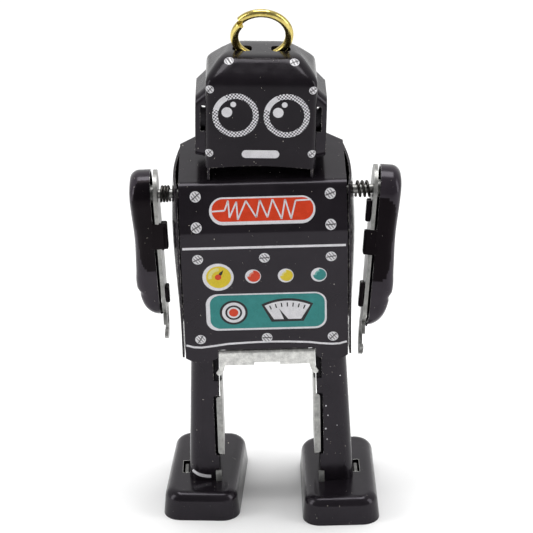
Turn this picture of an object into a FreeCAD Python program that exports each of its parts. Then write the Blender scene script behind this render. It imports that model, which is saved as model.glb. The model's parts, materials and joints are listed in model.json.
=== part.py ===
import FreeCAD, Part
import math
import os

from FreeCAD import Vector

# Miniature pressed-tin walking robot, in millimetres.
# +Z is up, the face looks along -Y, and the origin is on the floor under the middle of the
# object.  "left" is the robot's own left hand side, which is +X.

# ---- driving dimensions ---------------------------------------------------------------
TIN = 0.35                     # pressed sheet
GAP = 0.05                     # between pieces that are tabbed together
RUN = 0.05                     # radial clearance of a shaft in its hole

TORSO_HALF_WIDTH = 13.3
TORSO_BULGE = 14.7             # half width at the fullest part of the side panels
TORSO_CORNER = 2.6             # chamfer of the rear upright corners
TORSO_BOTTOM_Z = 30.3
TORSO_FLOOR_Z = 31.0
CHEST_BEND_Z = 51.8
TORSO_FRONT_TOP_Z = 59.5
TORSO_BACK_TOP_Z = 61.4
TORSO_FRONT_BOTTOM_Y = -8.2
CHEST_BEND_Y = -10.0
TORSO_FRONT_TOP_Y = -8.0
TORSO_BACK_Y = 8.4
SKIRT_BOTTOM_Z = 27.9
SKIRT_INNER_X = 8.0

BAR_HALF = 7.85
BAR_TOP_Z = 30.1
BAR_BOTTOM_Z = 27.4
BAR_FRONT_Y = -8.2
BAR_FLANGE_HALF = 6.8
HOOK_BOTTOM_Z = 25.6
HOOK_SPACE = (7.0, 8.95, -9.0, -5.6, 24.0, 29.4)      # room for the hook in a leg: x, y, z

HEAD_HALF_WIDTH = 8.75
HEAD_FRONT_Y = -6.9
HEAD_BACK_Y = 6.3
HEAD_BOTTOM_Z = 61.7
HEAD_SHOULDER_Z = 76.3         # where the crown starts to slope in
HEAD_TOP_Z = 79.0
EAR_OUTER_X = 10.3
HEAD_TILT = 2.3                # degrees towards the robot's left
HEAD_TILT_Z = 68.5             # height of the line the head is tilted about
CROWN_INSET_FRONT = 2.9
CROWN_INSET_BACK = 1.3
CROWN_HALF_FRONT = 6.4         # half width of the crown's flat top at its front edge
CROWN_HALF_BACK = 5.4
CROWN_ROUNDING = 1.5
EAR_FRONT_Y = -5.9
EAR_BACK_Y = 5.3
EAR_TOP_Z = 74.6
EAR_BOTTOM_Z = 62.6
EAR_SLOPE = 1.9                # the ear's outer face ends this much below its top

RING_RADIUS = 4.3              # centre line of the wire
RING_WIRE = 0.65
RING_CHORD = 3.0               # centre of the ring above its hinge line
RING_LEAN = 24.0               # degrees forward at rest
RING_Y = 0.3
RING_SPLIT = 142.0             # degrees from +X to the gap between the ring's ends
RING_OFFSET = 0.9              # the two ends miss each other by this much along Y
RING_SLACK = 0.8               # degrees left open on each side of the split
RING_SLOT_INNER = 1.55
RING_SLOT_OUTER = 4.55
RING_SLOT_HALF = 1.3

MOTION_Y = -1.0                # hip, crank and winding axes lie in this plane
HIP_Z = 30.0
CRANK_Z = 40.5
CRANK_THROW = 1.85
CRANK_PIN = 0.5
HIP_AXLE = 0.8
LEG_REST = {"left": 1.2, "right": -1.2}     # degrees forward at rest, in mid step
CRANK_PER_LEG = 9.0            # crank degrees for each degree of a leg
MODULE = 0.4
GREAT_TEETH = 36
PINION_TEETH = 12
CRANK_TEETH = 30
GOVERNOR_TEETH = 10
ARBOR = 0.9
MOTOR_PLATE_X = 5.7
MOTOR_PLATE = 0.5
LEVER_X = 7.6                  # inner face of the leg plate
WINDING_Z = CRANK_Z + MODULE * (GREAT_TEETH + PINION_TEETH) / 2
GOVERNOR_DISTANCE = MODULE * (CRANK_TEETH + GOVERNOR_TEETH) / 2
GOVERNOR_ANGLE = math.radians(-52.0)
GOVERNOR_Y = MOTION_Y + GOVERNOR_DISTANCE * math.cos(GOVERNOR_ANGLE)
GOVERNOR_Z = CRANK_Z + GOVERNOR_DISTANCE * math.sin(GOVERNOR_ANGLE)
GREAT_WHEEL_X = -4.9
TRAIN_WIDTH = 0.8
CRANK_WHEEL_X = 3.9
CRANKSHAFT = 0.8
GOVERNOR_ARBOR = 0.5
DISC_X = 6.4
DISC_WIDTH = 0.45
PILLAR = 0.6
PILLARS = ((-6.2, 33.2), (5.9, 56.6), (-6.8, 57.0), (6.2, 44.2))
SQUARE_X = 13.0
SQUARE_HALF = 0.8

LEG_FRONT_Y = -7.1
LEG_BACK_Y = 2.0
LEG_TOP_Z = 29.5
LEG_INNER_TOP = 8.05
LEG_OUTER_TOP = {"left": 13.0, "right": 12.5}
LEG_INNER_BOTTOM = 8.6
LEG_OUTER_BOTTOM = {"left": 14.1, "right": 13.7}
LEG_SLOT_LOW_Z = 9.6
LEG_SLOT_HIGH_Z = 21.2
LEG_SLOT_X = 9.1               # outer edge of the slot
LEG_FLANGE_X = 8.6             # outer edge of the bright flange in the slot

FOOT_X = {"left": 11.75, "right": 11.0}
FOOT_Y = {"left": -3.0, "right": -0.4}
FOOT_YAW = {"left": 0.0, "right": 4.5}      # degrees toe out
FOOT_HALF_WIDTH = 6.45
FOOT_HALF_LENGTH = 11.5
FOOT_DRAFT = 0.45              # the deck is this much smaller than the base on each side
FOOT_CORNER = 3.0
FOOT_ROUNDING = 1.7
FOOT_DECK_Z = 4.7
FOOT_SLOT = 1.1                # width of the slot beside the leg

SHOULDER_Z = 54.8
SHOULDER_RIVET = 0.75
ARM_X = {"left": 17.75, "right": 16.95}     # inner face of the arm's bright plate
ARM_PLATE = 0.6
ARM_SHELL_GAP = 0.45           # between the plate and the rim of the black shell
ARM_SHELL_DEPTH = 3.6
HAND_DEPTH = 3.15
WRIST_DROP = 17.3              # the crease between forearm and hand, below the shoulder
ARM_TOP_RADIUS = 4.1
ARM_END_RADIUS = 3.5
ARM_SHELL_LENGTH = 19.5
CLAW_DROP = 24.6
CLAW_MOUTH = 1.5
CLAW_EYE = 2.0
WRAP = {"left": (6.0, 10.2), "right": (3.4, 8.3)}     # the front tab, below the shoulder
SPRING_START = 14.85
SPRING_TURNS = 3
SPRING_WIRE = 0.22
ARM_LEAN = {"left": 5.4, "right": 1.0}      # degrees in towards the legs
ARM_SWING = {"left": 9.0, "right": -9.0}    # degrees forward at rest

SIDES = {"left": 1.0, "right": -1.0}
# The shapes are laid out about the middle of the torso and moved by this much at the end,
# which puts the middle of the whole object's box over the origin.
TO_ORIGIN = Vector(-0.5, 1.56, 0)
X_AXIS = Vector(1, 0, 0)
Y_AXIS = Vector(0, 1, 0)
Z_AXIS = Vector(0, 0, 1)
ORIGIN = Vector(0, 0, 0)


# ---- helpers --------------------------------------------------------------------------
def plane_yz(x):
    return lambda u, v: Vector(x, u, v)


def plane_xz(y):
    return lambda u, v: Vector(u, y, v)


def plane_xy(z):
    return lambda u, v: Vector(u, v, z)


def outline(points, radii, place):
    """Closed wire through the points, each corner rounded by its radius."""
    count = len(points)
    corners = []
    for i in range(count):
        here = Vector(points[i][0], points[i][1], 0)
        before = Vector(points[i - 1][0], points[i - 1][1], 0)
        after = Vector(points[(i + 1) % count][0], points[(i + 1) % count][1], 0)
        back = (before - here).normalize()
        ahead = (after - here).normalize()
        radius = radii[i] if isinstance(radii, (list, tuple)) else radii
        half = back.getAngle(ahead) / 2
        if radius <= 0 or half > math.radians(89.5):
            corners.append((here, None, here))
            continue
        run = radius / math.tan(half)
        middle = (back + ahead).normalize()
        centre = here + middle * (radius / math.sin(half))
        corners.append((here + back * run, centre - middle * radius, here + ahead * run))
    edges = []
    for i in range(count):
        start, middle, end = corners[i]
        following = corners[(i + 1) % count][0]
        if middle is not None:
            edges.append(Part.Arc(place(start.x, start.y), place(middle.x, middle.y),
                                  place(end.x, end.y)).toShape())
        if end.distanceToPoint(following) > 1e-6:
            edges.append(Part.makeLine(place(end.x, end.y), place(following.x, following.y)))
    return Part.Wire(edges)


def prism(points, radii, place, sweep):
    return Part.Face(outline(points, radii, place)).extrude(sweep)


def bent_sheet(path, radii, thickness):
    """Points and corner radii of a sheet whose outer face follows the path; the sheet lies
    to the left of the path's direction."""
    normals = []
    for i in range(len(path) - 1):
        run = Vector(path[i + 1][0] - path[i][0], path[i + 1][1] - path[i][1], 0).normalize()
        normals.append(Vector(-run.y, run.x, 0))
    inner = []
    for i in range(len(path)):
        first = normals[max(i - 1, 0)]
        second = normals[min(i, len(normals) - 1)]
        middle = (first + second).normalize()
        reach = thickness / middle.dot(first)
        inner.append((path[i][0] + middle.x * reach, path[i][1] + middle.y * reach))
    inner_radii = [max(r - thickness, 0) for r in radii]
    for i in range(1, len(path) - 1):
        turn = normals[i - 1].cross(normals[i]).z
        if turn < 0:
            inner_radii[i] = radii[i] + thickness
    return path + inner[::-1], list(radii) + inner_radii[::-1]


def block(x0, x1, y0, y1, z0, z1):
    return Part.makeBox(x1 - x0, y1 - y0, z1 - z0, Vector(x0, y0, z0))


def rod(x0, x1, y, z, radius):
    return Part.makeCylinder(radius, x1 - x0, Vector(x0, y, z), X_AXIS)


def on_side(shape, side):
    """The shape is made for the left, +X; the right one is its mirror image."""
    if side > 0:
        return shape
    return shape.mirror(ORIGIN, X_AXIS)


def turned(shape, centre, axis, degrees):
    copy = shape.copy()
    copy.rotate(centre, axis, degrees)
    return copy


def write(node, shape):
    solids = shape.Solids
    if len(solids) == 1:
        shape = solids[0]
    shape = shape.copy()
    shape.translate(TO_ORIGIN)
    if not shape.isValid():
        print("not valid:", node)
    shape.exportStep("parts/" + node + ".step")
    print("%-22s %2d solid %9.2f mm3" % (node, len(solids), shape.Volume))


def round_edges(shape, radius, chosen):
    edges = [edge for edge in shape.Edges if chosen(edge)]
    return shape.makeFillet(radius, edges)


# ---- torso ----------------------------------------------------------------------------
def front_y(z):
    """Outer face of the front panel at height z."""
    if z < CHEST_BEND_Z:
        part = (z - TORSO_BOTTOM_Z) / (CHEST_BEND_Z - TORSO_BOTTOM_Z)
        return TORSO_FRONT_BOTTOM_Y + part * (CHEST_BEND_Y - TORSO_FRONT_BOTTOM_Y)
    part = (z - CHEST_BEND_Z) / (TORSO_FRONT_TOP_Z - CHEST_BEND_Z)
    return CHEST_BEND_Y + part * (TORSO_FRONT_TOP_Y - CHEST_BEND_Y)


def top_z(y):
    """Outer face of the torso's top at depth y."""
    part = (y - TORSO_FRONT_TOP_Y) / (TORSO_BACK_Y - TORSO_FRONT_TOP_Y)
    return TORSO_FRONT_TOP_Z + part * (TORSO_BACK_TOP_Z - TORSO_FRONT_TOP_Z)


def torso_front_panel():
    """One sheet: two skirts over the hips, the front, the sloped chest and the top."""
    path = [(TORSO_BACK_Y, top_z(TORSO_BACK_Y)), (TORSO_FRONT_TOP_Y, TORSO_FRONT_TOP_Z),
            (CHEST_BEND_Y, CHEST_BEND_Z), (front_y(SKIRT_BOTTOM_Z), SKIRT_BOTTOM_Z)]
    points, radii = bent_sheet(path, [0, 1.6, 1.2, 0], TIN)
    sheet = prism(points, radii, plane_yz(-TORSO_HALF_WIDTH), X_AXIS * (2 * TORSO_HALF_WIDTH))
    reach = TORSO_HALF_WIDTH + 1
    cutters = []
    for side in SIDES.values():
        corner = [(TORSO_HALF_WIDTH - TORSO_CORNER, TORSO_BACK_Y + 0.1),
                  (reach, TORSO_BACK_Y + 0.1), (reach, TORSO_BACK_Y - TORSO_CORNER - 1)]
        cutters.append(on_side(prism(corner, 0, plane_xy(55), Z_AXIS * 10), side))
    # space between the skirts, and the rounded skirt bottoms
    low = SKIRT_BOTTOM_Z - 1
    middle = [(-SKIRT_INNER_X, low), (SKIRT_INNER_X, low), (SKIRT_INNER_X, TORSO_BOTTOM_Z),
              (-SKIRT_INNER_X, TORSO_BOTTOM_Z)]
    cutters.append(prism(middle, [0, 0, 0.4, 0.4], plane_xz(-12), Y_AXIS * 8))
    skirt_middle = (SKIRT_INNER_X + TORSO_HALF_WIDTH) / 2
    for side in SIDES.values():
        below = block(SKIRT_INNER_X - 0.5, reach, -12, -4, low - 3, SKIRT_BOTTOM_Z + 1.4)
        bowl = Part.makeCylinder(4.2, 8, Vector(skirt_middle, -12, SKIRT_BOTTOM_Z + 4.2), Y_AXIS)
        cutters.append(on_side(below.cut(bowl), side))
    for cutter in cutters:
        sheet = sheet.cut(cutter)
    return sheet


def torso_back_panel():
    path = [(TORSO_BACK_Y, TORSO_BOTTOM_Z - 0.6), (TORSO_BACK_Y, TORSO_BACK_TOP_Z - TIN - GAP),
            (TORSO_BACK_Y - 2.5, top_z(TORSO_BACK_Y - 2.5) - TIN - GAP)]
    points, radii = bent_sheet(path, [0, 0.8, 0], TIN)
    half = TORSO_HALF_WIDTH - TORSO_CORNER - 0.1
    return prism(points, radii, plane_yz(-half), X_AXIS * (2 * half))


def side_section(z, bulge):
    """Plan of a side panel at height z: a bowed side, then the chamfered rear corner."""
    front = front_y(z) + 0.45
    rear = TORSO_BACK_Y - TORSO_CORNER
    edge = TORSO_HALF_WIDTH + 0.55
    place = plane_xy(z)
    outer = Part.Arc(place(edge, front), place(bulge, -1.5), place(TORSO_HALF_WIDTH, rear))
    inner = Part.Arc(place(TORSO_HALF_WIDTH - TIN, rear - 0.1), place(bulge - TIN, -1.5),
                     place(edge - TIN, front))
    back_outer = (TORSO_HALF_WIDTH - TORSO_CORNER, TORSO_BACK_Y)
    back_inner = (TORSO_HALF_WIDTH - TORSO_CORNER, TORSO_BACK_Y - TIN * 1.4)
    corner = Part.makePolygon([place(TORSO_HALF_WIDTH, rear), place(*back_outer),
                               place(*back_inner), place(TORSO_HALF_WIDTH - TIN, rear - 0.1)])
    closing = Part.makeLine(place(edge - TIN, front), place(edge, front))
    return Part.Wire([outer.toShape()] + corner.Edges + [inner.toShape(), closing])


def torso_side_panel():
    heights = [(TORSO_BOTTOM_Z - 1.5, 13.75), (41.5, 14.4), (CHEST_BEND_Z - 0.6, TORSO_BULGE),
               (TORSO_BACK_TOP_Z + 0.6, 13.9)]
    panel = Part.makeLoft([side_section(z, bulge) for z, bulge in heights], True, False)
    # trimmed just under the sloping top
    drop = TIN + GAP
    above = [(-14, top_z(-14) - drop), (14, top_z(14) - drop), (14, 70), (-14, 70)]
    panel = panel.cut(prism(above, 0, plane_yz(8), X_AXIS * 10))
    panel = panel.cut(rod(8, 18, 0, SHOULDER_Z, SHOULDER_RIVET + RUN))
    return panel.cut(rod(8, 18, MOTION_Y, WINDING_Z, 2.0))


def torso_floor_plate():
    front = TORSO_FRONT_BOTTOM_Y + TIN + 0.15
    rear = TORSO_BACK_Y - TIN - GAP
    half = 12.6
    corner = TORSO_CORNER
    points = [(-half, front), (half, front), (half, rear - corner), (half - corner, rear),
              (-half + corner, rear), (-half, rear - corner)]
    plate = prism(points, 0, plane_xy(TORSO_FLOOR_Z), Z_AXIS * TIN)
    for side in SIDES.values():
        slot = block(MOTOR_PLATE_X - GAP, 8.7, MOTION_Y - 3.9, MOTION_Y + 3.2,
                     TORSO_FLOOR_Z - 1, TORSO_FLOOR_Z + 1)
        plate = plate.cut(on_side(slot, side))
    return plate


def hip_crossbar():
    """Bright bent strip between the legs, with a raised middle edge and a hook at each end."""
    points, radii = bent_sheet([(MOTION_Y - 1.8, BAR_TOP_Z), (BAR_FRONT_Y, BAR_TOP_Z),
                                (BAR_FRONT_Y, BAR_BOTTOM_Z)], [0, 0.6, 0], TIN)
    bar = prism(points, radii, plane_yz(-BAR_HALF), X_AXIS * (2 * BAR_HALF))
    bar = bar.cut(block(-2.1, 2.1, BAR_FRONT_Y - 1, BAR_FRONT_Y + 1, BAR_BOTTOM_Z - 1,
                        BAR_BOTTOM_Z + 0.45))
    for side in SIDES.values():
        # the flange that reaches back to the motor plates is narrower than the front
        spare = block(BAR_FLANGE_HALF, BAR_HALF + 1, BAR_FRONT_Y + TIN, 0, 20, 32)
        bar = bar.cut(on_side(spare, side))
        hook = [(BAR_HALF - 1.0, BAR_BOTTOM_Z + 0.3), (BAR_HALF, BAR_BOTTOM_Z + 0.3),
                (BAR_HALF + 0.05, HOOK_BOTTOM_Z + 1.2), (BAR_HALF + 0.55, HOOK_BOTTOM_Z + 0.4),
                (BAR_HALF + 0.3, HOOK_BOTTOM_Z), (BAR_HALF - 0.2, HOOK_BOTTOM_Z),
                (BAR_HALF - 0.7, HOOK_BOTTOM_Z + 0.9)]
        bar = bar.fuse(on_side(prism(hook, 0, plane_xz(BAR_FRONT_Y), Y_AXIS * TIN), side))
    return bar.removeSplitter()


# ---- head -----------------------------------------------------------------------------
def head_block(inset):
    """The head's outer block, or the same block drawn in by inset, with its sloped crown."""
    half = HEAD_HALF_WIDTH - inset
    front = HEAD_FRONT_Y + inset
    back = HEAD_BACK_Y - inset
    low = HEAD_BOTTOM_Z - 3
    shoulder = HEAD_SHOULDER_Z - inset * 0.5
    top = HEAD_TOP_Z - inset
    base = [(-half, front), (half, front), (half, back), (-half, back)]
    crown_front = CROWN_HALF_FRONT - inset * 0.4
    crown_back = CROWN_HALF_BACK - inset * 0.4
    crown = [(-crown_front, front + CROWN_INSET_FRONT), (crown_front, front + CROWN_INSET_FRONT),
             (crown_back, back - CROWN_INSET_BACK), (-crown_back, back - CROWN_INSET_BACK)]
    body = prism(base, 0, plane_xy(low), Z_AXIS * (shoulder - low))
    cap = Part.makeLoft([outline(base, 0, plane_xy(shoulder)), outline(crown, 0, plane_xy(top))],
                        True, True)
    head = body.fuse(cap).removeSplitter()
    radius = CROWN_ROUNDING - inset
    head = round_edges(head, radius, lambda e: e.BoundBox.ZMax > shoulder - 0.01 and
                       e.BoundBox.ZMin > low + 1)
    return head


def below_torso_top():
    """Everything under the torso's top face, with a little to spare."""
    points = [(-14, top_z(-14) + GAP), (14, top_z(14) + GAP), (14, 50), (-14, 50)]
    return prism(points, 0, plane_yz(-15), X_AXIS * 30)


def head_tilted(shape):
    return turned(shape, Vector(0, 0, HEAD_TILT_Z), Y_AXIS, HEAD_TILT)


def head_shell():
    """Face, crown and back in one sheet; the sides below the crown are separate panels."""
    shell = head_block(0).cut(head_block(TIN))
    window = HEAD_HALF_WIDTH + 1
    sides = [(HEAD_FRONT_Y + 0.9, 50), (HEAD_BACK_Y - 0.9, 50),
             (HEAD_BACK_Y - 0.9, 74.8), (HEAD_FRONT_Y + 0.9, 74.8)]
    shell = shell.cut(prism(sides, [0, 0, 1.2, 1.2], plane_yz(-window), X_AXIS * (2 * window)))
    # the face stops above the chest, with a shallow arch
    chin = block(-11, 11, HEAD_FRONT_Y - 1, HEAD_FRONT_Y + 1.0, 50, HEAD_BOTTOM_Z)
    shell = shell.cut(chin)
    arch = Part.makeCylinder(60, 2.0, Vector(0, HEAD_FRONT_Y - 1, HEAD_BOTTOM_Z + 0.55 - 60), Y_AXIS)
    shell = shell.cut(arch)
    for side in SIDES.values():
        slot = [(RING_SLOT_INNER, RING_Y - RING_SLOT_HALF), (RING_SLOT_OUTER, RING_Y - RING_SLOT_HALF),
                (RING_SLOT_OUTER, RING_Y + RING_SLOT_HALF), (RING_SLOT_INNER, RING_Y + RING_SLOT_HALF)]
        shell = shell.cut(on_side(prism(slot, 0.8, plane_xy(HEAD_TOP_Z - 1.5), Z_AXIS * 3), side))
    return head_tilted(shell).cut(below_torso_top())


def ear_block(inset):
    """Pan-shaped block with a sloped top, or the same block drawn in by inset."""
    inner = HEAD_HALF_WIDTH - TIN - GAP
    outer = EAR_OUTER_X - inset
    front = EAR_FRONT_Y + inset
    back = EAR_BACK_Y - inset
    low = EAR_BOTTOM_Z + inset
    high = EAR_TOP_Z - inset
    base = [(front, low), (back, low), (back, high), (front, high)]
    face = [(front + 0.3, low + 0.3), (back - 0.3, low + 0.3), (back - 0.3, high - EAR_SLOPE),
            (front + 0.3, high - EAR_SLOPE)]
    radius = 1.6 - inset
    start = inner - TIN - (1.0 if inset else 0.0)
    foot = prism(base, radius, plane_yz(start), X_AXIS * (inner - start))
    pan = Part.makeLoft([outline(base, radius, plane_yz(inner)), outline(face, radius, plane_yz(outer))],
                        True, True)
    return foot.fuse(pan).removeSplitter()


def head_side_panel(side):
    """Side of the head with a raised, pan-shaped ear that is slotted front and back."""
    inner = HEAD_HALF_WIDTH - TIN - GAP
    low = HEAD_BOTTOM_Z - 4
    edge = [(HEAD_FRONT_Y + TIN + GAP, low), (HEAD_BACK_Y - TIN - GAP, low),
            (HEAD_BACK_Y - TIN - GAP, 75.2), (HEAD_FRONT_Y + TIN + GAP, 75.2)]
    plate = prism(edge, 0, plane_yz(inner - TIN), X_AXIS * TIN)
    panel = plate.fuse(ear_block(0)).cut(ear_block(TIN))
    slot = [(inner + 0.2, 67.3), (inner + 1.15, 67.3), (inner + 1.15, 71.6), (inner + 0.2, 71.6)]
    panel = panel.cut(prism(slot, 0.3, plane_xz(-9), Y_AXIS * 18))
    return head_tilted(on_side(panel, side)).cut(below_torso_top())


def hanging_ring():
    """Split ring of round wire through the two holes of the crown; its ends miss each other."""
    share = 1 - 2 * RING_SLACK / 360
    path = Part.makeHelix(RING_OFFSET, RING_OFFSET * share, RING_RADIUS)
    section = Part.Wire([Part.makeCircle(RING_WIRE, Vector(RING_RADIUS, 0, 0), Y_AXIS)])
    wire = Part.Wire(path.Edges).makePipeShell([section], True, True)
    wire.rotate(ORIGIN, X_AXIS, -90)
    wire.rotate(ORIGIN, Y_AXIS, RING_SLACK - RING_SPLIT)
    wire.translate(Vector(0, -RING_OFFSET / 2, 0))
    wire = wire.mirror(ORIGIN, Y_AXIS)
    hinge = Vector(0, RING_Y, HEAD_TOP_Z - TIN / 2)
    wire.translate(hinge + Vector(0, 0, RING_CHORD))
    return head_tilted(turned(wire, hinge, X_AXIS, RING_LEAN))


# ---- clockwork ------------------------------------------------------------------------
def spur_gear(teeth, x, width, y, z, tooth_direction, bore):
    """Straight-toothed gear on an axis along X, with one tooth pointing in the given
    direction (radians from +Y towards +Z)."""
    pitch = MODULE * teeth / 2
    levels = ((pitch - 1.2 * MODULE, 0.27), (pitch, 0.20), (pitch + 0.85 * MODULE, 0.10))
    step = 2 * math.pi / teeth
    points = []
    for tooth in range(teeth):
        middle = tooth_direction + tooth * step
        for radius, share in levels:
            angle = middle - share * step
            points.append((y + radius * math.cos(angle), z + radius * math.sin(angle)))
        for radius, share in reversed(levels):
            angle = middle + share * step
            points.append((y + radius * math.cos(angle), z + radius * math.sin(angle)))
    gear = prism(points, 0, plane_yz(x), X_AXIS * width)
    return gear.cut(rod(x - 1, x + width + 1, y, z, bore))


def lightened(gear, x, width, y, z, ring, hole, count):
    for i in range(count):
        angle = 2 * math.pi * i / count + 0.4
        gear = gear.cut(rod(x - 1, x + width + 1, y + ring * math.cos(angle),
                            z + ring * math.sin(angle), hole))
    return gear


def great_wheel():
    gear = spur_gear(GREAT_TEETH, GREAT_WHEEL_X, TRAIN_WIDTH, MOTION_Y, WINDING_Z,
                     -math.pi / 2, ARBOR + RUN)
    return lightened(gear, GREAT_WHEEL_X, TRAIN_WIDTH, MOTION_Y, WINDING_Z, 4.2, 1.3, 5)


def crank_pinion():
    step = 2 * math.pi / PINION_TEETH
    return spur_gear(PINION_TEETH, GREAT_WHEEL_X - 0.2, TRAIN_WIDTH + 0.4, MOTION_Y, CRANK_Z,
                     math.pi / 2 + step / 2, CRANKSHAFT)


def crank_wheel():
    gear = spur_gear(CRANK_TEETH, CRANK_WHEEL_X, TRAIN_WIDTH, MOTION_Y, CRANK_Z,
                     GOVERNOR_ANGLE, CRANKSHAFT)
    return lightened(gear, CRANK_WHEEL_X, TRAIN_WIDTH, MOTION_Y, CRANK_Z, 3.3, 1.1, 4)


def governor_pinion():
    step = 2 * math.pi / GOVERNOR_TEETH
    return spur_gear(GOVERNOR_TEETH, CRANK_WHEEL_X - 0.2, TRAIN_WIDTH + 0.4, GOVERNOR_Y,
                     GOVERNOR_Z, GOVERNOR_ANGLE + math.pi + step / 2, GOVERNOR_ARBOR)


def governor_vane():
    """Two-bladed air brake on a small hub."""
    hub = rod(-3.0, 3.0, GOVERNOR_Y, GOVERNOR_Z, GOVERNOR_ARBOR + 0.4)
    blade = block(-2.6, 2.6, GOVERNOR_Y - 2.0, GOVERNOR_Y + 2.0, GOVERNOR_Z - 0.12,
                  GOVERNOR_Z + 0.12)
    vane = hub.fuse(blade)
    return vane.cut(rod(-4, 4, GOVERNOR_Y, GOVERNOR_Z, GOVERNOR_ARBOR))


def clutch_spring():
    """Three-legged spring washer beside the great wheel, which slips while it is wound."""
    x = GREAT_WHEEL_X + TRAIN_WIDTH + 0.3
    washer = rod(x, x + 0.25, MOTION_Y, WINDING_Z, ARBOR + 0.9)
    for i in range(3):
        leg = block(x, x + 0.25, MOTION_Y - 0.45, MOTION_Y + 0.45, WINDING_Z, WINDING_Z + 3.9)
        leg.rotate(Vector(0, MOTION_Y, WINDING_Z), X_AXIS, 120 * i)
        washer = washer.fuse(leg)
    return washer.cut(rod(x - 1, x + 1, MOTION_Y, WINDING_Z, ARBOR + RUN)).removeSplitter()


def crank_disc(side):
    """Disc on the end of the crankshaft with an offset pin; the two pins are opposed."""
    disc = rod(DISC_X, DISC_X + DISC_WIDTH, MOTION_Y, CRANK_Z, 2.6)
    disc = disc.cut(rod(DISC_X - 1, DISC_X + 1, MOTION_Y, CRANK_Z, CRANKSHAFT))
    pin = rod(DISC_X + DISC_WIDTH, LEVER_X + TIN + 0.45, MOTION_Y, CRANK_Z + side * CRANK_THROW,
              CRANK_PIN)
    disc = on_side(disc.fuse(pin), side)
    return turned(disc, Vector(0, MOTION_Y, CRANK_Z), X_AXIS, -CRANK_PER_LEG * LEG_REST["left"])


def motor_plate():
    outer = MOTOR_PLATE_X + MOTOR_PLATE
    points = [(MOTION_Y - 3.9, 26.6), (MOTION_Y + 1.7, 26.6), (MOTION_Y + 1.7, 31.6),
              (7.2, 31.6), (7.2, 58.2), (-7.8, 58.2), (-7.2, 31.6), (MOTION_Y - 3.9, 31.6)]
    plate = prism(points, [0.5, 1.2, 0, 1.0, 1.2, 1.2, 1.0, 0], plane_yz(MOTOR_PLATE_X),
                  X_AXIS * MOTOR_PLATE)
    # the crossbar is tabbed on just below the front of the plate's tongue
    plate = plate.cut(block(4, 8, -9, MOTION_Y - 1.75, 26, BAR_TOP_Z + GAP))
    bores = [(MOTION_Y, HIP_Z, HIP_AXLE), (MOTION_Y, CRANK_Z, CRANKSHAFT + RUN),
             (MOTION_Y, WINDING_Z, ARBOR + RUN),
             (GOVERNOR_Y, GOVERNOR_Z, GOVERNOR_ARBOR + RUN)]
    bores += [(y, z, PILLAR) for y, z in PILLARS]
    for y, z, radius in bores:
        plate = plate.cut(rod(MOTOR_PLATE_X - 1, outer + 1, y, z, radius))
    window = [(-5.6, 43.5), (-3.2, 43.5), (-3.2, 47), (-5.6, 47)]
    return plate.cut(prism(window, 0.6, plane_yz(MOTOR_PLATE_X - 1), X_AXIS * 3))


def motor_pillars():
    reach = MOTOR_PLATE_X + MOTOR_PLATE
    pillars = []
    for y, z in PILLARS:
        post = rod(-MOTOR_PLATE_X, MOTOR_PLATE_X, y, z, PILLAR + 0.35)
        pillars.append(post.fuse(rod(-reach, reach, y, z, PILLAR)).removeSplitter())
    return Part.makeCompound(pillars)


def mainspring():
    """Flat spiral of spring strip around the winding arbor."""
    turns = 6
    inner = ARBOR + 0.45
    outer = 5.4
    strip = 0.16
    half_width = 2.2
    steps = turns * 16

    def spiral(offset):
        points = []
        for i in range(steps + 1):
            angle = 2 * math.pi * turns * i / steps
            radius = inner + (outer - inner) * i / steps + offset
            points.append(Vector(-half_width, MOTION_Y + radius * math.cos(angle),
                                 WINDING_Z + radius * math.sin(angle)))
        curve = Part.BSplineCurve()
        curve.interpolate(points)
        return curve.toShape(), points[0], points[-1]

    near, near_start, near_end = spiral(0)
    far, far_start, far_end = spiral(strip)
    wire = Part.Wire([near, Part.makeLine(near_end, far_end), far, Part.makeLine(far_start, near_start)])
    return Part.Face(wire).extrude(X_AXIS * (2 * half_width))


def winding_arbor():
    """Arbor of the mainspring, squared at its outer end for a loose key."""
    arbor = rod(-MOTOR_PLATE_X - 1.2, 7.0, MOTION_Y, WINDING_Z, ARBOR)
    shoulder = rod(7.0, 7.6, MOTION_Y, WINDING_Z, ARBOR + 0.6)
    square = block(7.6, SQUARE_X, MOTION_Y - SQUARE_HALF, MOTION_Y + SQUARE_HALF,
                   WINDING_Z - SQUARE_HALF, WINDING_Z + SQUARE_HALF)
    square = square.common(rod(7, SQUARE_X, MOTION_Y, WINDING_Z, SQUARE_HALF * 1.32))
    return arbor.fuse([shoulder, square]).removeSplitter()


def coil(x0, turns, pitch, radius, wire, y, z):
    """Round-wire helical spring on an axis along X, starting at x0."""
    path = Part.makeHelix(pitch, pitch * turns, radius)
    section = Part.Wire([Part.makeCircle(wire, Vector(radius, 0, 0), Y_AXIS)])
    spring = Part.Wire(path.Edges).makePipeShell([section], True, True)
    spring.rotate(ORIGIN, Y_AXIS, 90)
    spring.translate(Vector(x0, y, z))
    return spring


# ---- legs and feet --------------------------------------------------------------------
def leg_inner_x(z):
    part = (LEG_TOP_Z - z) / (LEG_TOP_Z - FOOT_DECK_Z)
    return LEG_INNER_TOP + part * (LEG_INNER_BOTTOM - LEG_INNER_TOP)


def leg_outer_x(name, z):
    part = (LEG_TOP_Z - z) / (LEG_TOP_Z - FOOT_DECK_Z)
    return LEG_OUTER_TOP[name] + part * (LEG_OUTER_BOTTOM[name] - LEG_OUTER_TOP[name])


def leg_foot_y(name):
    """Front of the leg where it stands on its foot."""
    return LEG_FRONT_Y - math.sin(math.radians(LEG_REST[name])) * (HIP_Z - FOOT_DECK_Z)


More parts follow.
